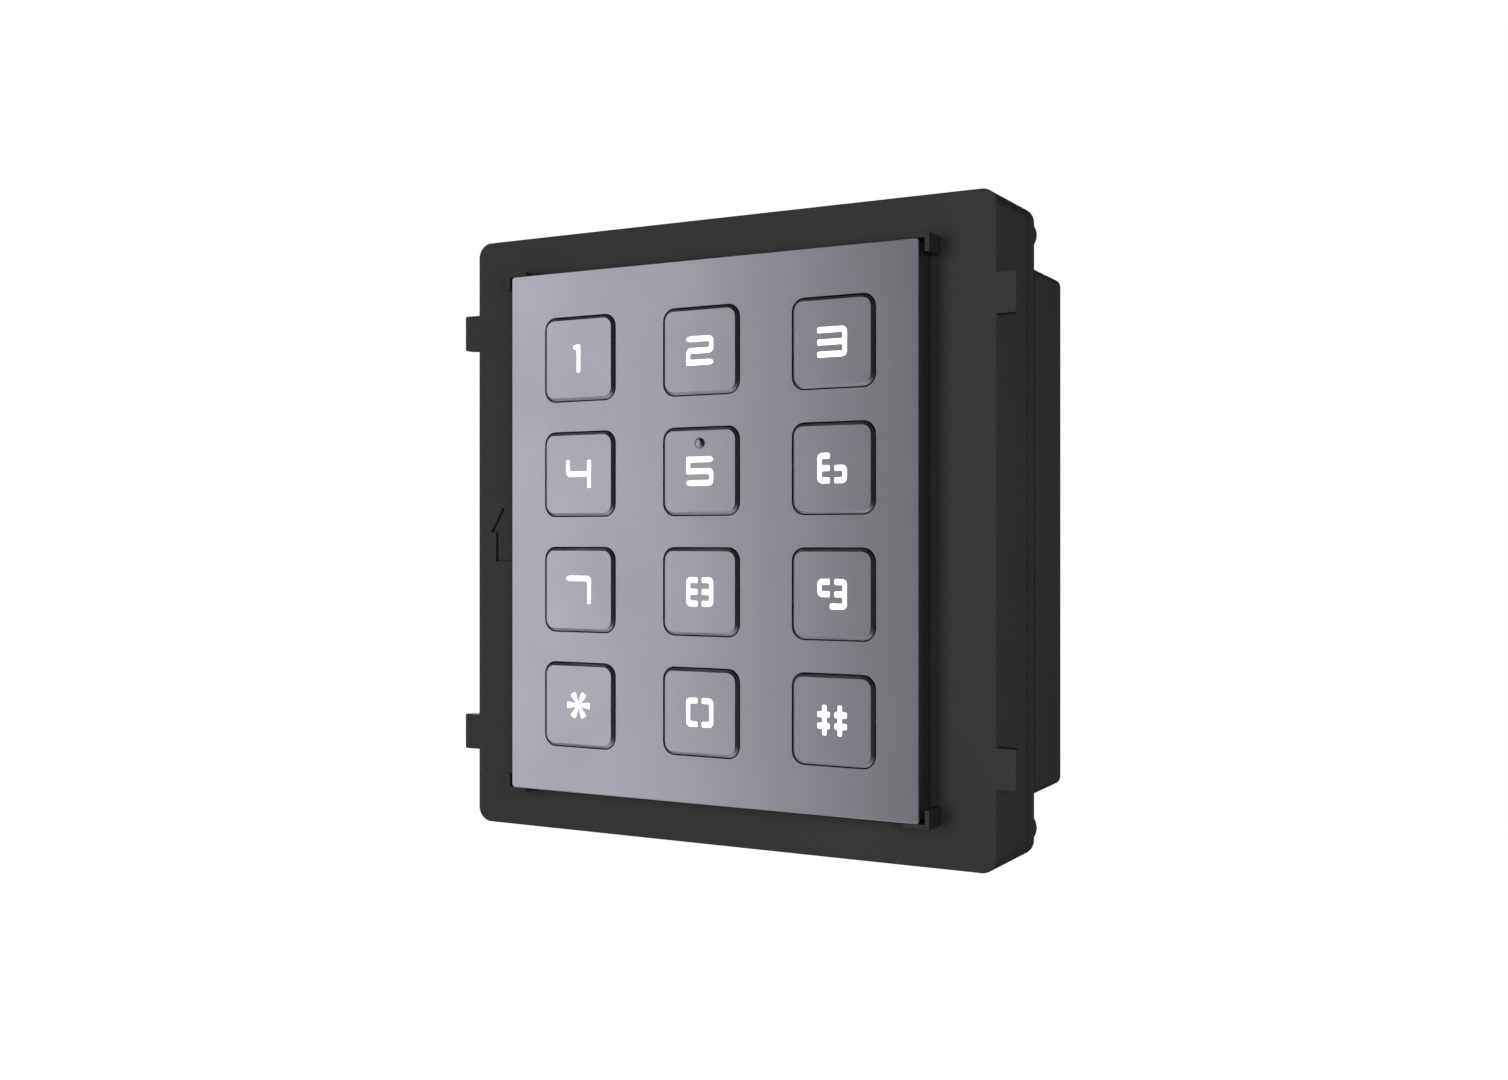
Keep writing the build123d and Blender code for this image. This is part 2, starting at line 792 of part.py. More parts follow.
with BuildPart() as link_socket:
    with BuildSketch(Plane.XZ.offset(link_header_front)):
        with Locations(link_position):
            Rectangle(link_width, link_length)
    extrude(amount=keypad_board_back - link_header_front)
    with BuildSketch(Plane.XZ.offset(link_header_front)):
        with Locations(link_position):
            with GridLocations(0, pin_pitch, 1, link_count):
                Rectangle(link_slot_side, link_slot_side)
    extrude(amount=link_pin_length + pin_tail, mode=Mode.SUBTRACT)
link_socket.part.label = "link_socket"
export_step(link_socket.part, "parts/link_socket.step")

with BuildPart() as bus_driver_chip:
    with BuildSketch(Plane.XZ.offset(interface_front)):
        with Locations(driver_position):
            Rectangle(driver_width, driver_length)
    extrude(amount=driver_height)
bus_driver_chip.part.label = "bus_driver_chip"
export_step(bus_driver_chip.part, "parts/bus_driver_chip.step")

# ---------------------------------------------------------------------------------------------------
# Bus sockets: shrouded, keyed, open to the rear
# ---------------------------------------------------------------------------------------------------

for name, side in (("bus_input", 1), ("bus_output", -1)):
    with BuildPart() as socket:
        with BuildSketch(Plane.XZ.offset(socket_recess)):
            with Locations((0, side * socket_offset)):
                Rectangle(socket_width, socket_height)
        extrude(amount=socket_depth)
        with BuildSketch(Plane.XZ.offset(socket_recess)):
            with Locations((0, side * socket_offset)):
                Rectangle(socket_width - 2 * socket_wall, socket_height - 2 * socket_wall)
            with Locations((0, side * (socket_offset + (socket_height - socket_wall) / 2))):
                Rectangle(socket_key_width, socket_wall)
        extrude(amount=socket_depth - socket_floor, mode=Mode.SUBTRACT)
        with BuildSketch(Plane.XZ.offset(interface_back)):
            with Locations((0, side * socket_offset)):
                with GridLocations(pin_pitch, pin_pitch, socket_columns, socket_rows):
                    Rectangle(pin_side, pin_side)
        extrude(amount=-socket_floor, mode=Mode.SUBTRACT)
    socket.part.label = f"{name}_socket"
    export_step(socket.part, f"parts/{name}_socket.step")

    with BuildPart() as pins:
        with BuildSketch(Plane.XZ.offset(interface_front + pin_tail)):
            with Locations((0, side * socket_offset)):
                with GridLocations(pin_pitch, pin_pitch, socket_columns, socket_rows):
                    Rectangle(pin_side, pin_side)
        extrude(amount=-(pin_tail + board_thickness + socket_floor + socket_pin_length))
    pins.part.label = f"{name}_pins"
    export_step(pins.part, f"parts/{name}_pins.step")

# ---------------------------------------------------------------------------------------------------
# Address switch: a body with one slot for each slider, all sliders at the same end of their travel
# ---------------------------------------------------------------------------------------------------

slider_slot_length = slider_length + slider_travel + 2 * slider_gap
slider_x = switch_position[0] - slider_travel / 2

with BuildPart() as address_switch_body:
    with BuildSketch(Plane.XZ.offset(switch_face)):
        with Locations(switch_position):
            Rectangle(switch_width, switch_length)
    extrude(amount=switch_body_height)
    with BuildSketch(Plane.XZ.offset(switch_face)):
        with Locations(switch_position):
            with GridLocations(0, pin_pitch, 1, switch_ways):
                Rectangle(slider_slot_length, slider_width + 2 * slider_gap)
    extrude(amount=slider_root, mode=Mode.SUBTRACT)
address_switch_body.part.label = "address_switch_body"
export_step(address_switch_body.part, "parts/address_switch_body.step")

for way in range(switch_ways):
    slider_z = switch_position[1] + ((switch_ways - 1) / 2 - way) * pin_pitch
    with BuildPart() as address_slider:
        with BuildSketch(Plane.XZ.offset(switch_face - slider_rise)):
            with Locations((slider_x, slider_z)):
                Rectangle(slider_length, slider_width)
        extrude(amount=slider_rise + slider_root)
    address_slider.part.label = f"address_slider_{way + 1}"
    export_step(address_slider.part, f"parts/address_slider_{way + 1}.step")

# ---------------------------------------------------------------------------------------------------
# Rear cover: lip, central box, screw bosses, standoffs, locating ribs and windows
# ---------------------------------------------------------------------------------------------------

rib_inset = shell_wall + rib_gap + rib_thickness

# Central box, full width, with rounded corners and a little draft on its top and bottom
with BuildPart() as rear_box:
    with BuildSketch(Plane.XZ):
        RectangleRounded(shell_width, rear_box_height - 2 * rear_box_draft, rear_box_corner_radius)
    with BuildSketch(Plane.XZ.offset(rear_box_depth)):
        RectangleRounded(shell_width, rear_box_height, rear_box_corner_radius)
    loft()
    rear_face = rear_box.faces().sort_by(Axis.Y)[-1]
    fillet(rear_face.edges(), rear_box_edge_radius)

with BuildPart() as rear_cover:
    # Lip behind the seam, in line with the front housing
    with BuildSketch(Plane.XZ.offset(rear_box_depth)):
        RectangleRounded(shell_width, shell_height, shell_corner_radius)
    extrude(amount=cover_lip_depth)
    fillet(rear_cover.faces().sort_by(Axis.Y)[-1].edges(), cover_lip_edge_radius)
    add(rear_box.part)
    with BuildSketch(Plane.XZ.offset(lip_floor)):
        RectangleRounded(inner_width, inner_height, inner_corner_radius)
    extrude(amount=seam_back - lip_floor, mode=Mode.SUBTRACT)
    with BuildSketch(Plane.XZ.offset(shell_wall)):
        Rectangle(inner_width, rear_box_height - 2 * shell_wall - 2 * rear_box_draft)
    extrude(amount=lip_floor - shell_wall, mode=Mode.SUBTRACT)

    # Screw bosses, which carry the counterbored cover screws
    with BuildSketch(Plane.XZ.offset(counterbore_back)):
        with GridLocations(post_spacing_x, post_spacing_z, 2, 2):
            Circle(post_radius)
    extrude(amount=seam_back - counterbore_back)
    with BuildSketch(Plane.XZ.offset(counterbore_back)):
        with GridLocations(post_spacing_x, post_spacing_z, 2, 2):
            Circle(counterbore_diameter / 2)
    extrude(amount=counterbore_depth, mode=Mode.SUBTRACT)
    with BuildSketch(Plane.XZ.offset(counterbore_back)):
        with GridLocations(post_spacing_x, post_spacing_z, 2, 2):
            Circle(screw_hole_diameter / 2)
    extrude(amount=seam_back - counterbore_back, mode=Mode.SUBTRACT)

    # Standoffs under the interface board
    with BuildSketch(Plane.XZ.offset(shell_wall)):
        with GridLocations(standoff_spacing_x, standoff_spacing_z, 2, 2):
            Circle(standoff_radius)
    extrude(amount=interface_back - shell_wall)
    pilot_depth = board_screw_length - board_thickness + screw_pilot_spare
    with BuildSketch(Plane.XZ.offset(interface_back)):
        with GridLocations(standoff_spacing_x, standoff_spacing_z, 2, 2):
            Circle(screw_diameter / 2)
    extrude(amount=-pilot_depth, mode=Mode.SUBTRACT)

    # Ribs that stand past the seam and locate the cover inside the front housing
    with BuildSketch(Plane.XZ.offset(lip_floor)):
        with GridLocations(shell_width - 2 * rib_inset + rib_thickness, rib_side_spacing, 2, 3):
            Rectangle(rib_thickness, rib_width)
        with GridLocations(rib_end_spacing, shell_height - 2 * rib_inset + rib_thickness, 2, 2):
            Rectangle(rib_width, rib_thickness)
    extrude(amount=seam_back + rib_reach - lip_floor)
    with BuildSketch(Plane.XZ.offset(lip_floor)):
        with GridLocations(inner_width - rib_gap, rib_side_spacing, 2, 3):
            Rectangle(rib_gap, rib_width)
        with GridLocations(rib_end_spacing, inner_height - rib_gap, 2, 2):
            Rectangle(rib_width, rib_gap)
    extrude(amount=seam_back - lip_floor)

    # Windows for the two bus sockets and the address switch, and a shallow seat for the label
    with BuildSketch(Plane.XZ):
        with GridLocations(0, 2 * socket_offset, 1, 2):
            Rectangle(socket_width + 2 * socket_window_gap, socket_height + 2 * socket_window_gap)
        with Locations(switch_position):
            Rectangle(switch_width + 2 * switch_window_gap, switch_length + 2 * switch_window_gap)
    extrude(amount=shell_wall, mode=Mode.SUBTRACT)
    with BuildSketch(Plane.XZ):
        with Locations(label_position):
            RectangleRounded(label_width + label_margin, label_height + label_margin, label_corner_radius)
    extrude(amount=label_recess, mode=Mode.SUBTRACT)
rear_cover.part.label = "rear_cover"
export_step(rear_cover.part, "parts/rear_cover.step")

with BuildPart() as rating_label:
    with BuildSketch(Plane.XZ.offset(label_recess)):
        with Locations(label_position):
            RectangleRounded(label_width, label_height, label_corner_radius)
    extrude(amount=-label_thickness)
rating_label.part.label = "rating_label"
export_step(rating_label.part, "parts/rating_label.step")

# ---------------------------------------------------------------------------------------------------
# Gasket in the seam: a flat ring with an eyelet at each screw
# ---------------------------------------------------------------------------------------------------

with BuildPart() as housing_gasket:
    with BuildSketch(Plane.XZ.offset(seam_back)):
        RectangleRounded(
            shell_width - 2 * gasket_inset, shell_height - 2 * gasket_inset,
            shell_corner_radius - gasket_inset,
        )
        RectangleRounded(inner_width, inner_height, inner_corner_radius, mode=Mode.SUBTRACT)
        with GridLocations(post_spacing_x, post_spacing_z, 2, 2):
            Circle(gasket_eyelet_diameter / 2)
            Circle(screw_hole_diameter / 2, mode=Mode.SUBTRACT)
    extrude(amount=seam_gap)
housing_gasket.part.label = "housing_gasket"
export_step(housing_gasket.part, "parts/housing_gasket.step")

# ---------------------------------------------------------------------------------------------------
# Screws: three groups of the same pan-head screw
# ---------------------------------------------------------------------------------------------------


def pan_head_screw(length):
    """A cross-recessed screw along +Z, with the underside of its head at the origin."""
    with BuildPart() as screw:
        with BuildSketch():
            Circle(screw_head_diameter / 2)
        extrude(amount=-screw_head_height)
        fillet(screw.faces().sort_by(Axis.Z)[0].edges(), screw_head_edge_radius)
        with BuildSketch(Plane.XY.offset(-screw_head_height)):
            Rectangle(screw_slot_length, screw_slot_width)
            Rectangle(screw_slot_width, screw_slot_length)
        extrude(amount=screw_slot_depth, mode=Mode.SUBTRACT)
        with BuildSketch():
            Circle(screw_diameter / 2)
        extrude(amount=length)
    return screw.part


with BuildPart() as cover_screws:
    with Locations(Plane.XZ.offset(counterbore_back + counterbore_depth)):
        with GridLocations(post_spacing_x, post_spacing_z, 2, 2):
            add(pan_head_screw(cover_screw_length))
cover_screws.part.label = "cover_screws"
export_step(cover_screws.part, "parts/cover_screws.step")

with BuildPart() as keypad_board_screws:
    with Locations(Plane.XZ.offset(keypad_board_back)):
        with GridLocations(boss_spacing_x, board_boss_spacing, 2, 3):
            add(pan_head_screw(board_screw_length))
keypad_board_screws.part.label = "keypad_board_screws"
export_step(keypad_board_screws.part, "parts/keypad_board_screws.step")

with BuildPart() as interface_board_screws:
    with Locations(Plane.XZ.offset(interface_front) * Plane.XY.rotated((180, 0, 0)).location):
        with GridLocations(standoff_spacing_x, standoff_spacing_z, 2, 2):
            add(pan_head_screw(board_screw_length))
interface_board_screws.part.label = "interface_board_screws"
export_step(interface_board_screws.part, "parts/interface_board_screws.step")
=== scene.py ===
# %% [markdown]
# # A keypad reader for an entry panel
# The object is a module about 100 mm square. A black moulded housing carries a satin plate on its front,
# and twelve keys come through the plate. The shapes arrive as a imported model, one node for each piece.
# This lesson gives every piece its finish, adds the small parts that are easier to model here, and sets
# up a plain studio around it.

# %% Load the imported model
from math import cos, pi, radians, sin

import bmesh
import bpy
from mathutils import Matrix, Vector


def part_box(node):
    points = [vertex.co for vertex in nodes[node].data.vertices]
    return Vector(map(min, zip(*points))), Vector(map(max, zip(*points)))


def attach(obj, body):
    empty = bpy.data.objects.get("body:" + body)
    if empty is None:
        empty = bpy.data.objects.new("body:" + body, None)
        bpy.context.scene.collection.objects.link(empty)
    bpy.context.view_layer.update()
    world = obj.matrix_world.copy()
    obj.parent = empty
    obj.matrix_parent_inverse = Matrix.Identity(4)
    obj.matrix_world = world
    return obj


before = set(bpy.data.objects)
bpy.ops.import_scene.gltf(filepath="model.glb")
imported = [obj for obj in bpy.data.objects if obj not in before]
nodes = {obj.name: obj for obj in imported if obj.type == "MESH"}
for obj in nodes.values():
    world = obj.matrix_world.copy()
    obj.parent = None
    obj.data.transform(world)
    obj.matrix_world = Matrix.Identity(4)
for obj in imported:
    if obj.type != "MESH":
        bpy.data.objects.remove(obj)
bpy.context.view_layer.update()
mm = 0.001

# %% [markdown]
# ## The studio
# A module like this hangs in a wall frame, so nothing stands under it. The floor lies well below, where
# it only bounces light back up. The background is white to the camera but dim to everything else, so that
# black plastic stays black: two Background shaders are mixed by the Light Path node.

# %% A white backdrop that lights the scene gently
scene = bpy.context.scene
scene.view_settings.view_transform = "Standard"
ambient_strength = 0.03

world = bpy.data.worlds.new("studio")
scene.world = world
world.use_nodes = True
world_tree = world.node_tree
world_tree.nodes.clear()
light_path = world_tree.nodes.new("ShaderNodeLightPath")
ambient = world_tree.nodes.new("ShaderNodeBackground")
ambient.inputs["Strength"].default_value = ambient_strength
backdrop = world_tree.nodes.new("ShaderNodeBackground")
backdrop.inputs["Color"].default_value = (1, 1, 1, 1)
backdrop_mix = world_tree.nodes.new("ShaderNodeMixShader")
world_output = world_tree.nodes.new("ShaderNodeOutputWorld")
world_tree.links.new(light_path.outputs["Is Camera Ray"], backdrop_mix.inputs[0])
world_tree.links.new(ambient.outputs[0], backdrop_mix.inputs[1])
world_tree.links.new(backdrop.outputs[0], backdrop_mix.inputs[2])
world_tree.links.new(backdrop_mix.outputs[0], world_output.inputs["Surface"])
print("world made, ambient strength", ambient_strength)

# %% [markdown]
# ## The camera
# The view is level and comes from the right, a little under 29 degrees off the straight-on line. A real
# product shot keeps its lens level so that upright edges stay upright, and so does this one.

# %% Set the camera
camera_place = Vector((128.3, -250.0, -1.33)) * mm
view_angle = radians(28.79)
lens_length = 38.2

camera_data = bpy.data.cameras.new("camera")
camera_data.lens = lens_length
camera = bpy.data.objects.new("camera", camera_data)
camera.location = camera_place
line_of_sight = Vector((-sin(view_angle), cos(view_angle), 0))
camera.rotation_euler = line_of_sight.to_track_quat("-Z", "Y").to_euler()
scene.collection.objects.link(camera)
scene.camera = camera
print("camera at", [round(x, 3) for x in camera.location])

# %% [markdown]
# ## The lights
# Soft light comes from panels. Satin metal needs something bright to mirror, and black plastic needs a lot
# of light to show at all, so the two are lit apart: one tall panel on the left is seen only in
# reflections, and the one beside it only lights matt surfaces. A small one by the lens makes the front a
# shade lighter towards the camera, and two behind keep the sides and the back readable. An area light's
# power is spread over its face, so a helper takes the panel's place as two angles and aims it at the object.

# %% Hang the soft panels
object_centre = Vector((0, -17 * mm, 0))


def soft_panel(name, azimuth, elevation, distance, width, height, power):
    """A rectangular area light at two angles round the object, in degrees, facing it."""
    turn = radians(azimuth)
    lift = radians(elevation)
    away = Vector((sin(turn) * cos(lift), -cos(turn) * cos(lift), sin(lift)))
    light = bpy.data.lights.new(name, "AREA")
    light.shape = "RECTANGLE"
    light.size = width
    light.size_y = height
    light.energy = power
    panel = bpy.data.objects.new(name, light)
    panel.location = object_centre + away * distance
    panel.rotation_euler = (-away).to_track_quat("-Z", "Y").to_euler()
    panel.visible_camera = False
    scene.collection.objects.link(panel)
    return panel


mirrored_panel = soft_panel(
    "mirrored_panel", azimuth=-40, elevation=0, distance=0.8, width=0.35, height=1.4, power=2.0
)
mirrored_panel.visible_diffuse = False
matt_panel = soft_panel(
    "matt_panel", azimuth=-25, elevation=0, distance=0.8, width=0.35, height=0.6, power=8.0
)
matt_panel.visible_glossy = False
lens_panel = soft_panel(
    "lens_panel", azimuth=38, elevation=4, distance=0.3, width=0.12, height=0.12, power=0.84
)
lens_panel.visible_glossy = False
soft_panel("rear_right_panel", azimuth=130, elevation=0, distance=0.8, width=0.35, height=0.6, power=1.75)
soft_panel("rear_left_panel", azimuth=-150, elevation=15, distance=0.9, width=0.6, height=0.4, power=5.0)

# %% [markdown]
# ## Helpers for node materials
# Every finish is a small network of shader nodes. One helper adds a node, sets its properties and either
# links or sets its sockets, which keeps each finish short enough to read. Another starts a node group,
# a reusable effect with its own inputs and outputs, and sets the range of values its inputs begin with.

# %% Helpers that add nodes, groups and materials
def add_node(tree, kind, sockets=None, **settings):
    """Adds a shader node. Each value in sockets is either a constant or another node's output."""
    made = tree.nodes.new("ShaderNode" + kind)
    for name, value in settings.items():
        setattr(made, name, value)
    for name, value in (sockets or {}).items():
        if isinstance(value, bpy.types.NodeSocket):
            tree.links.new(value, made.inputs[name])
        else:
            made.inputs[name].default_value = value
    return made


def start_group(name, inputs, outputs):
    """A node group with named float inputs and their first values, and named outputs with their kinds."""
    group = bpy.data.node_groups.new(name, "ShaderNodeTree")
    for label, first_value in inputs.items():
        socket = group.interface.new_socket(label, in_out="INPUT", socket_type="NodeSocketFloat")
        socket.default_value = first_value
    for label, kind in outputs.items():
        group.interface.new_socket(label, in_out="OUTPUT", socket_type="NodeSocket" + kind)
    entry = group.nodes.new("NodeGroupInput")
    leave = group.nodes.new("NodeGroupOutput")
    return group, entry.outputs, leave.inputs


def use_group(tree, group, **values):
    """Places a group in a tree, with its inputs set by name (spaces written as underscores)."""
    made = tree.nodes.new("ShaderNodeGroup")
    made.node_tree = group
    for label, value in values.items():
        made.inputs[label.replace("_", " ")].default_value = value
    return made.outputs


def multiply(tree, first, second):
    """The product of two values or sockets."""
    return add_node(tree, "Math", {0: first, 1: second}, operation="MULTIPLY").outputs[0]


def remap(tree, value, low, high, new_low, new_high):
    """Stretches a value from one range to another, and keeps it inside the new one."""
    sockets = {"Value": value, "From Min": low, "From Max": high, "To Min": new_low, "To Max": new_high}
    return add_node(tree, "MapRange", sockets).outputs["Result"]


def mix_colours(tree, mask, first, second):
    """The first colour where the mask is 0, the second where it is 1."""
    mixer = add_node(tree, "Mix", data_type="RGBA")
    for socket, value in ((mixer.inputs[0], mask), (mixer.inputs[6], first), (mixer.inputs[7], second)):
        if isinstance(value, bpy.types.NodeSocket):
            tree.links.new(value, socket)
        else:
            socket.default_value = value
    return mixer.outputs[2]


def grey(level, warmth=0.0):
    """A near-neutral colour. A positive warmth shifts it towards red, a negative one towards blue."""
    return (level * (1 + warmth), level, level * (1 - warmth), 1)


print("helpers ready")

# %% [markdown]
# ## Shared effects
# Four effects turn up on most finishes, so each is a group. Edge wear finds outside corners: the Ambient
# Occlusion node, looking inwards, darkens where the surface turns away close by. The painted corner shade
# looks outwards instead and finds inside corners, where it paints shade into the colour. Moulded grain is
# the fine spark texture of a tool's steel. Cloudiness is the slow unevenness that any real finish has.

# %% Edge wear and soft edges
def build_edge_wear():
    """Mask is 1 on rubbed outside corners, broken up by noise. Normal is the surface with eased edges."""
    inputs = {"Reach": 0.3 * mm, "Ease": 0.1 * mm, "Breakup": 900}
    group, given, result = start_group("edge_wear", inputs, {"Mask": "Float", "Normal": "Vector"})
    sharp_corner, flat_surface = 0.45, 0.9
    inward = add_node(group, "AmbientOcclusion", {"Distance": given["Reach"]}, inside=True, samples=6)
    corner = remap(group, inward.outputs["AO"], sharp_corner, flat_surface, 1.0, 0.0)
    place = add_node(group, "TexCoord").outputs["Object"]
    rubbing = add_node(group, "TexNoise", {"Vector": place, "Scale": given["Breakup"], "Detail": 3.0})
    least_wear, patch_low, patch_high = 0.15, 0.42, 0.62
    patches = remap(group, rubbing.outputs[0], patch_low, patch_high, least_wear, 1.0)
    group.links.new(multiply(group, corner, patches), result["Mask"])
    eased = add_node(group, "Bevel", {"Radius": given["Ease"]}, samples=4)
    group.links.new(eased.outputs[0], result["Normal"])
    return group


edge_wear = build_edge_wear()


# %% Painted shade in inside corners
def build_painted_corner_shade():
    """Mask is 1 deep in inside corners and grooves, where it paints shade into the colour."""
    group, given, result = start_group("painted_corner_shade", {"Reach": 1.5 * mm}, {"Mask": "Float"})
    outward = add_node(group, "AmbientOcclusion", {"Distance": given["Reach"]}, samples=6)
    deep, open_surface = 0.55, 0.82
    group.links.new(remap(group, outward.outputs["AO"], deep, open_surface, 1.0, 0.0), result["Mask"])
    return group


painted_corner_shade = build_painted_corner_shade()


# %% Moulded grain and cloudiness
def build_moulded_grain():
    """Height of a fine spark-eroded texture, and a mask of its pits for the roughness to follow."""
    outputs = {"Height": "Float", "Pits": "Float"}
    group, given, result = start_group("moulded_grain", {"Scale": 3500}, outputs)
    place = add_node(group, "TexCoord").outputs["Object"]
    lumps = add_node(group, "TexNoise", {"Vector": place, "Scale": given["Scale"], "Detail": 2.0})
    cells = add_node(group, "TexVoronoi", {"Vector": place, "Scale": given["Scale"]}, feature="SMOOTH_F1")
    pits = multiply(group, lumps.outputs[0], cells.outputs["Distance"])
    group.links.new(pits, result["Height"])
    group.links.new(remap(group, pits, 0.1, 0.4, 0.0, 1.0), result["Pits"])
    return group


def build_cloudiness():
    """A slow, soft variation between 0 and 1."""
    group, given, result = start_group("cloudiness", {"Scale": 60}, {"Mask": "Float"})
    place = add_node(group, "TexCoord").outputs["Object"]
    clouds = add_node(group, "TexNoise", {"Vector": place, "Scale": given["Scale"], "Detail": 4.0})
    group.links.new(remap(group, clouds.outputs[0], 0.3, 0.7, 0.0, 1.0), result["Mask"])
    return group


moulded_grain = build_moulded_grain()
cloudiness = build_cloudiness()
print("groups:", ", ".join(g.name for g in bpy.data.node_groups))


# %% [markdown]
# ## One pattern for most finishes
# A real surface is a base colour that drifts slowly and gets lighter on rubbed edges, with a roughness that
# follows the same masks and a fine relief; inside corners are darkened with painted shade. One function
# wires that once. A finish then differs by its colours, its roughness, how metallic it is and the scale of
# its grain.

# %% The layered finish
def layered_finish(name, colour, worn, shade_colour, rough, metallic=0.0, grain=3500, relief=0.01 * mm,
                   clouds=60, drift=0.06, ease=0.1 * mm, reach=0.3 * mm, wear=0.5, shade_amount=0.4,
                   shade_reach=1.5 * mm, **shader_values):
    """A material with drift, edge wear, painted shade in inside corners, grain relief and roughness that
    follows them.
    """
    material = bpy.data.materials.new(name)
    material.use_nodes = True
    tree = material.node_tree
    shader = tree.nodes["Principled BSDF"]
    edges = use_group(tree, edge_wear, Reach=reach, Ease=ease)
    corners = use_group(tree, painted_corner_shade, Reach=shade_reach)
    texture = use_group(tree, moulded_grain, Scale=grain)
    slow = use_group(tree, cloudiness, Scale=clouds)

    darker = [channel * (1 - drift) for channel in colour[:3]] + [1]
    lighter = [channel * (1 + drift) for channel in colour[:3]] + [1]
    drifting = mix_colours(tree, slow["Mask"], darker, lighter)
    # The corner mask pulls the colour towards the third colour: painted shade in inside corners.
    shaded = mix_colours(tree, multiply(tree, corners["Mask"], shade_amount), drifting, shade_colour)
    rubbed = mix_colours(tree, multiply(tree, edges["Mask"], wear), shaded, worn)
    tree.links.new(rubbed, shader.inputs["Base Color"])

    uneven = add_node(tree, "Math", {0: slow["Mask"], 1: texture["Pits"]}, operation="ADD").outputs[0]
    tree.links.new(remap(tree, uneven, 0.0, 2.0, rough[0], rough[1]), shader.inputs["Roughness"])
    relief_sockets = {"Height": texture["Height"], "Normal": edges["Normal"], "Distance": relief}
    bump = add_node(tree, "Bump", relief_sockets)
    tree.links.new(bump.outputs[0], shader.inputs["Normal"])
    shader.inputs["Metallic"].default_value = metallic
    for socket, value in shader_values.items():
        shader.inputs[socket.replace("_", " ")].default_value = value
    return material


# %% [markdown]
# ## The finishes
# The housing is black moulded plastic with a fine grain. The plate and the keys wear the same satin metal
# finish, a grey with a trace of violet. The legends are white, with a faint painted glow for the light
# behind them.

# %% Finishes that show from the front
finishes = {
    # The housing's near-black third colour is painted shade in its inside corners.
    "housing_plastic": layered_finish(
        "moulded_black", grey(0.0168), grey(0.03), grey(0.003), (0.44, 0.58), ease=0.05 * mm, wear=0.15,
        shade_amount=0.8, shade_reach=0.5 * mm, Specular_IOR_Level=0.06,
    ),
    # The near-black third colours of the plate and the keys are painted shade in the gaps round the keys.
    "plate_finish": layered_finish(
        "satin_plate", (0.50, 0.485, 0.55, 1), (0.60, 0.59, 0.63, 1), (0.03, 0.03, 0.035, 1), (0.34, 0.42),
        metallic=1.0, grain=9000, relief=0.002 * mm, drift=0.012, ease=0.03 * mm, wear=0.25, shade_amount=0.9,
        shade_reach=0.6 * mm,
    ),
    "key_finish": layered_finish(
        "satin_keys", (0.50, 0.485, 0.55, 1), (0.60, 0.59, 0.63, 1), (0.02, 0.02, 0.022, 1), (0.32, 0.42),
        metallic=1.0, grain=9000, relief=0.002 * mm, drift=0.012, ease=0.04 * mm, wear=0.25, shade_amount=0.95,
        shade_reach=0.5 * mm,
    ),
    # The legends' emission is a painted glow: no lamp lights them from behind.
    "legend_plastic": layered_finish(
        "white_painted_glow", grey(0.80), grey(0.84), grey(0.60), (0.35, 0.5), grain=6000, relief=0.003 * mm,
        drift=0.01, ease=0.03 * mm, wear=0.2, shade_amount=0.1, Emission_Color=(1, 1, 1, 1), Emission_Strength=0.12,
    ),
}
print(len(finishes), "front finishes")

# %% Finishes inside and behind
# Each darker third colour below is painted shade in inside corners.
finishes.update({
    "adhesive": layered_finish("tape", grey(0.25), grey(0.3), grey(0.15), (0.5, 0.7)),
    "silicone": layered_finish("silicone", grey(0.45), grey(0.5), grey(0.3), (0.45, 0.6)),
    "carbon_rubber": layered_finish("carbon", grey(0.02), grey(0.04), grey(0.01), (0.6, 0.8)),
    "board": layered_finish("board_green", (0.012, 0.09, 0.035, 1), grey(0.4, 0.1), (0.005, 0.03, 0.012, 1),
                            (0.3, 0.42), grain=1500),
    "led": layered_finish("led_yellow", (0.85, 0.68, 0.2, 1), grey(0.8), grey(0.5), (0.3, 0.4)),
    "chip_resin": layered_finish("chip_black", grey(0.018), grey(0.05), grey(0.01), (0.5, 0.65)),
    "capacitor_can": layered_finish("can_metal", grey(0.6), grey(0.75), grey(0.3), (0.25, 0.38),
                                    metallic=1.0),
    "screw_steel": layered_finish("zinc_steel", grey(0.55), grey(0.7), grey(0.12), (0.25, 0.42),
                                  metallic=1.0),
    "connector_plastic": layered_finish("nylon_cream", (0.62, 0.58, 0.48, 1), grey(0.7), grey(0.35),
                                        (0.4, 0.55)),
    "pin_metal": layered_finish("tinned_pins", grey(0.7, 0.05), grey(0.8), grey(0.3), (0.2, 0.35),
                                metallic=1.0),
    "switch_plastic": layered_finish("switch_blue", (0.02, 0.07, 0.3, 1), grey(0.3), grey(0.02),
                                     (0.35, 0.5)),
    "slider_plastic": layered_finish("slider_white", grey(0.75), grey(0.85), grey(0.4), (0.35, 0.5)),
    "gasket_rubber": layered_finish("gasket_black", grey(0.004), grey(0.008), grey(0.002), (0.7, 0.9),
                                    Specular_IOR_Level=0.05),
    "label_film": layered_finish("label_silver", grey(0.62), grey(0.7), grey(0.4), (0.3, 0.45), grain=1200),
})
for node in nodes.values():
    for material_slot in node.material_slots:
        material_slot.material = finishes[material_slot.material.name]
print(len(finishes), "finishes on", len(nodes), "nodes")

# %% [markdown]
# ## New pieces
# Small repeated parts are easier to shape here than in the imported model. Each starts as a bmesh, gets its
# form from operators, and ends as one object whose place is in its mesh. One helper turns the bmesh into
# an object: it merges doubles, points the faces outwards, adds the finish and ties it to its body.

# %% A helper that finishes a new piece
merge_distance = 0.001 * mm


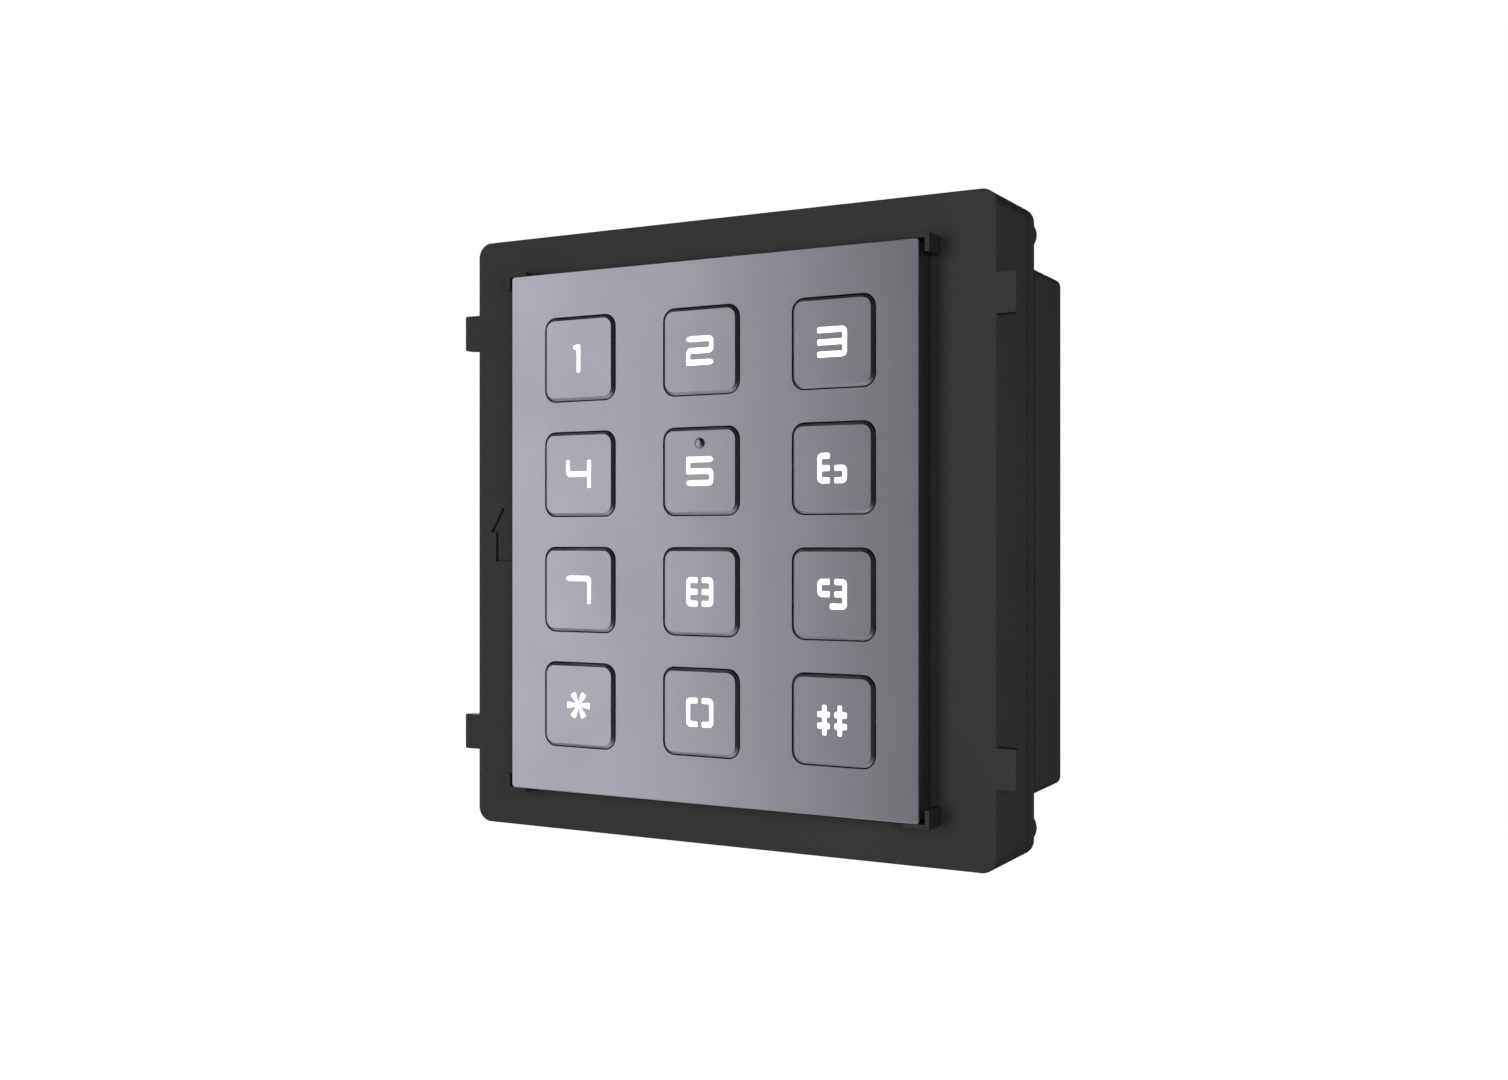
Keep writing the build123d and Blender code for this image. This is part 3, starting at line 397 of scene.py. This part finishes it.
def finish_piece(name, shape, slot_name, body="housing"):
    """Makes the bmesh an object with the finish of a material slot, riding on a body."""
    bmesh.ops.remove_doubles(shape, verts=shape.verts, dist=merge_distance)
    bmesh.ops.recalc_face_normals(shape, faces=shape.faces)
    mesh = bpy.data.meshes.new(name)
    shape.to_mesh(mesh)
    shape.free()
    piece = bpy.data.objects.new(name, mesh)
    mesh.materials.append(finishes[slot_name])
    scene.collection.objects.link(piece)
    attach(piece, body)
    print(name, "has", len(mesh.polygons), "faces")


def node_centre(name):
    """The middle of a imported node's box."""
    low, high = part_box(name)
    return (low + high) / 2


def spun_solid(shape, profile, centre, along, steps):
    """Spins a profile of (radius, height) points about an axis along +Y or -Y through a centre."""
    points = [shape.verts.new(centre + Vector((radius, along * height, 0))) for radius, height in profile]
    edges = [shape.edges.new(pair) for pair in zip(points, points[1:])]
    bmesh.ops.spin(shape, geom=points + edges, cent=centre, axis=(0, 1, 0), dvec=(0, 0, 0),
                   angle=2 * pi, steps=steps, use_merge=True, use_duplicate=False)


def bevelled_block(shape, centre, size, edge):
    """A block with eased edges, added to the bmesh."""
    made = bmesh.ops.create_cube(shape, size=1.0)["verts"]
    bmesh.ops.scale(shape, vec=size, verts=made)
    bmesh.ops.translate(shape, vec=centre, verts=made)
    edges = list({e for v in made for e in v.link_edges})
    bmesh.ops.bevel(shape, geom=edges, offset=edge, segments=2, profile=0.5, affect="EDGES", material=-1)


# %% [markdown]
# ## Lenses on the backlight
# A surface LED has a clear dome over its chip. Each dome is a quarter round spun about its own axis, and
# its place follows the keys, because one light sits behind the lower part of every legend.

# %% Dome the twelve backlight LEDs
key_names = ("1", "2", "3", "4", "5", "6", "7", "8", "9", "star", "0", "hash")
lens_radius = 0.42 * mm
lens_height = 0.30 * mm
lens_steps = 6
led_low, led_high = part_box("backlight_leds")
led_half_height = 0.625 * mm
led_drop = node_centre("legend_1").z - (led_high.z - led_half_height)

lenses = bmesh.new()
lens_profile = [(lens_radius * cos(i * pi / 2 / lens_steps), lens_height * sin(i * pi / 2 / lens_steps))
                for i in range(lens_steps + 1)]
for key_name in key_names:
    middle = node_centre("legend_" + key_name)
    spun_solid(lenses, [(0, 0)] + lens_profile, Vector((middle.x, led_low.y, middle.z - led_drop)), -1, 20)
finish_piece("led_lenses", lenses, "silicone")

# %% [markdown]
# ## Leads on the two chips
# A chip stands on thin metal legs that come out of its side, step down and lie flat on the board. One leg
# is a flat strip folded along a stepped line: the line is extruded across for the width and given a
# thickness. The same leg is repeated down each side.

# %% Bend one lead and repeat it
lead_thickness = 0.15 * mm


def add_lead(shape, start, outward, drop, width):
    """One stepped leg from a point on the chip's side, outwards by steps and towards +Y or -Y by drop."""
    reach = 0.35 * mm
    foot = 0.45 * mm
    across = Vector((outward.z, 0, -outward.x)) * width / 2
    down = Vector((0, drop, 0))
    bend = start + outward * reach
    line = (start, bend, bend + down, bend + outward * foot + down)
    points = [shape.verts.new(point - across) for point in line]
    edges = [shape.edges.new(pair) for pair in zip(points, points[1:])]
    strip = bmesh.ops.extrude_edge_only(shape, edges=edges)["geom"]
    bmesh.ops.translate(shape, vec=across * 2, verts=[v for v in strip if isinstance(v, bmesh.types.BMVert)])


def chip_leads(name, chip, sides, per_side, pitch, width, toward_board):
    """All the legs of a chip: on the given sides, evenly spaced, reaching the board's surface."""
    low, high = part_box(chip)
    middle = (low + high) / 2
    half = (high - low) / 2
    board_face = high.y if toward_board > 0 else low.y
    drop = board_face - middle.y - toward_board * lead_thickness
    shape = bmesh.new()
    for outward in sides:
        along = Vector((outward.z, 0, outward.x))
        out_of_side = half.x if outward.x else half.z
        for place in range(per_side):
            shift = (place - (per_side - 1) / 2) * pitch
            add_lead(shape, middle + outward * out_of_side + along * shift, outward, drop, width)
    bmesh.ops.remove_doubles(shape, verts=shape.verts, dist=merge_distance)
    bmesh.ops.recalc_face_normals(shape, faces=shape.faces)
    bmesh.ops.solidify(shape, geom=list(shape.faces), thickness=lead_thickness)
    foot_face = (max if toward_board > 0 else min)(vert.co.y for vert in shape.verts)
    bmesh.ops.translate(shape, vec=(0, board_face - foot_face, 0), verts=shape.verts)
    finish_piece(name, shape, "pin_metal")


four_sides = [Vector(d) for d in ((1, 0, 0), (-1, 0, 0), (0, 0, 1), (0, 0, -1))]
chip_leads("controller_chip_leads", "controller_chip", four_sides,
           per_side=12, pitch=0.8 * mm, width=0.3 * mm, toward_board=-1)
chip_leads("bus_driver_chip_leads", "bus_driver_chip", four_sides[:2],
           per_side=4, pitch=1.27 * mm, width=0.4 * mm, toward_board=1)

# %% [markdown]
# ## Small parts on the boards
# Every board carries a scatter of tiny capacitors and resistors, each a block with a metal cap on both
# ends. They are laid in a short row by each chip.

# %% Place the ceramic blocks and their end caps
part_length = 1.6 * mm
part_width = 0.8 * mm
part_height = 0.55 * mm
cap_length = 0.3 * mm
cap_swell = 0.04 * mm
part_edge = 0.05 * mm


def small_parts(name, first, step, count, outward):
    """A row of end-capped blocks that stand on a board face at a point and rise along +Y or -Y."""
    bodies = bmesh.new()
    caps = bmesh.new()
    for place in range(count):
        middle = first + step * place + Vector((0, outward * part_height / 2, 0))
        bevelled_block(bodies, middle, (part_length - cap_length, part_height, part_width), part_edge)
        for end in (-1, 1):
            shift = Vector((end * (part_length - cap_length) / 2, 0, 0))
            cap_size = (cap_length, part_height, part_width + cap_swell)
            bevelled_block(caps, middle + shift, cap_size, part_edge)
    finish_piece(name, bodies, "chip_resin")
    finish_piece(name + "_caps", caps, "pin_metal")


keypad_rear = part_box("keypad_board")[1].y
interface_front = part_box("interface_board")[0].y
row_step = Vector((0, 0, -1.8 * mm))
keypad_row_start = Vector((-4.5 * mm, keypad_rear, 17 * mm))
interface_row_start = Vector((-8.5 * mm, interface_front, -8 * mm))
small_parts("keypad_board_resistors", keypad_row_start, row_step, count=6, outward=1)
small_parts("interface_board_resistors", interface_row_start, row_step, count=4, outward=-1)

# %% [markdown]
# ## Solder on the pins
# Where a pin passes through its board, solder climbs it in a small dished cone. The profile is a quarter
# curve, wide at the board and thin at the pin, spun about the pin.

# %% Solder each through pin
pin_pitch = 2.54 * mm
solder_radius = 0.75 * mm
solder_height = 0.6 * mm
pin_half_width = 0.32 * mm
solder_steps = 5


def solder_row(name, centres, outward):
    """A dished cone at each centre on a board face, rising along +Y or -Y."""
    spread = solder_radius - pin_half_width
    curve = [(pin_half_width + spread * (1 - sin(i * pi / 2 / solder_steps)),
              solder_height * (1 - cos(i * pi / 2 / solder_steps))) for i in range(solder_steps + 1)]
    shape = bmesh.new()
    for centre in centres:
        spun_solid(shape, [(0, 0)] + curve + [(0, solder_height)], centre, outward, 16)
    finish_piece(name, shape, "pin_metal")


for bus in ("bus_input", "bus_output"):
    middle = node_centre(bus + "_pins")
    places = [Vector((middle.x + column * pin_pitch, interface_front, middle.z + row * pin_pitch))
              for column in (-1, 0, 1) for row in (-0.5, 0.5)]
    solder_row(bus + "_solder", places, -1)
link = node_centre("link_pins")
interface_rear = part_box("interface_board")[1].y
link_count = 8
link_places = [Vector((link.x, interface_rear, (i - (link_count - 1) / 2) * pin_pitch))
               for i in range(link_count)]
solder_row("link_solder", link_places, 1)

# %% [markdown]
# ## Print on the rear label
# A rating label carries ruled boxes. Its words are left out, so this one has only a frame and rules: thin
# raised ink, made as flat blocks a few hundredths of a millimetre proud of the film.

# %% Rule the label
ink_rise = 0.02 * mm
ink_line = 0.25 * mm
label_low, label_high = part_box("rating_label")
label_margin = 1.5 * mm
label_middle = (label_low + label_high) / 2
print_width = label_high.x - label_low.x - 2 * label_margin
print_height = label_high.z - label_low.z - 2 * label_margin
ink_depth = label_high.y + ink_rise / 2

ink = bmesh.new()


def ink_bar(x, z, width, height):
    """A printed bar on the label, placed from the label's middle."""
    centre = Vector((label_middle.x + x, ink_depth, label_middle.z + z))
    bevelled_block(ink, centre, (width, ink_rise, height), ink_rise / 4)


for side in (-1, 1):
    ink_bar(0, side * print_height / 2, print_width, ink_line)
    ink_bar(side * print_width / 2, 0, ink_line, print_height)
rule_count = 4
for rule in range(1, rule_count + 1):
    ink_bar(0, print_height * (rule / (rule_count + 1) - 0.5), print_width, ink_line)
ink_bar(-print_width / 6, 0, ink_line, print_height)
finish_piece("rating_label_print", ink, "chip_resin")

# %% [markdown]
# ## Ejector marks
# Pins push a moulding out of its tool and leave round witness rings on the side that doesn't show. Here
# they are on the rear lip of the housing, above and below the box, each a thin ring spun from a small bead.

# %% Ring the ejector marks
ring_radius = 2.2 * mm
bead = 0.07 * mm
bead_rise = 0.05 * mm
ring_columns = (-28 * mm, 0, 28 * mm)
ring_level = 45.5 * mm
box_depth = 12.9 * mm
marks = bmesh.new()
bead_profile = [(ring_radius - bead, 0), (ring_radius, bead_rise), (ring_radius + bead, 0)]
for column in ring_columns:
    for level in (-ring_level, ring_level):
        spun_solid(marks, bead_profile + bead_profile[:1], Vector((column, -box_depth, level)), 1, 40)
finish_piece("ejector_marks", marks, "housing_plastic")

# %% [markdown]
# ## The floor
# A pale floor well below the module catches no hard shadow. It is a subdivided grid with a matt finish.
# In a studio it would be overexposed until it melts into the backdrop. The Light Path node does that
# here: the camera sees a glow added to the floor, and the object only gets the floor's own soft bounce.

# %% Lay the floor
floor_depth = -700 * mm
floor_size = 30.0
floor_mesh = bpy.data.meshes.new("floor")
floor_shape = bmesh.new()
bmesh.ops.create_grid(floor_shape, x_segments=8, y_segments=8, size=floor_size / 2)
bmesh.ops.translate(floor_shape, vec=(0, 0, floor_depth), verts=floor_shape.verts)
floor_shape.to_mesh(floor_mesh)
floor_shape.free()
floor = bpy.data.objects.new("floor", floor_mesh)
scene.collection.objects.link(floor)

pale_floor = layered_finish("pale_floor", grey(0.9), grey(0.9), grey(0.85), (0.7, 0.8), grain=300)
floor_tree = pale_floor.node_tree
camera_ray = add_node(floor_tree, "LightPath").outputs["Is Camera Ray"]
floor_tree.nodes["Principled BSDF"].inputs["Emission Color"].default_value = (1, 1, 1, 1)
floor_tree.links.new(camera_ray, floor_tree.nodes["Principled BSDF"].inputs["Emission Strength"])
floor.data.materials.append(pale_floor)
print("floor at", floor_depth)

# %% [markdown]
# ## Done

# %% Finish
print("scene done")
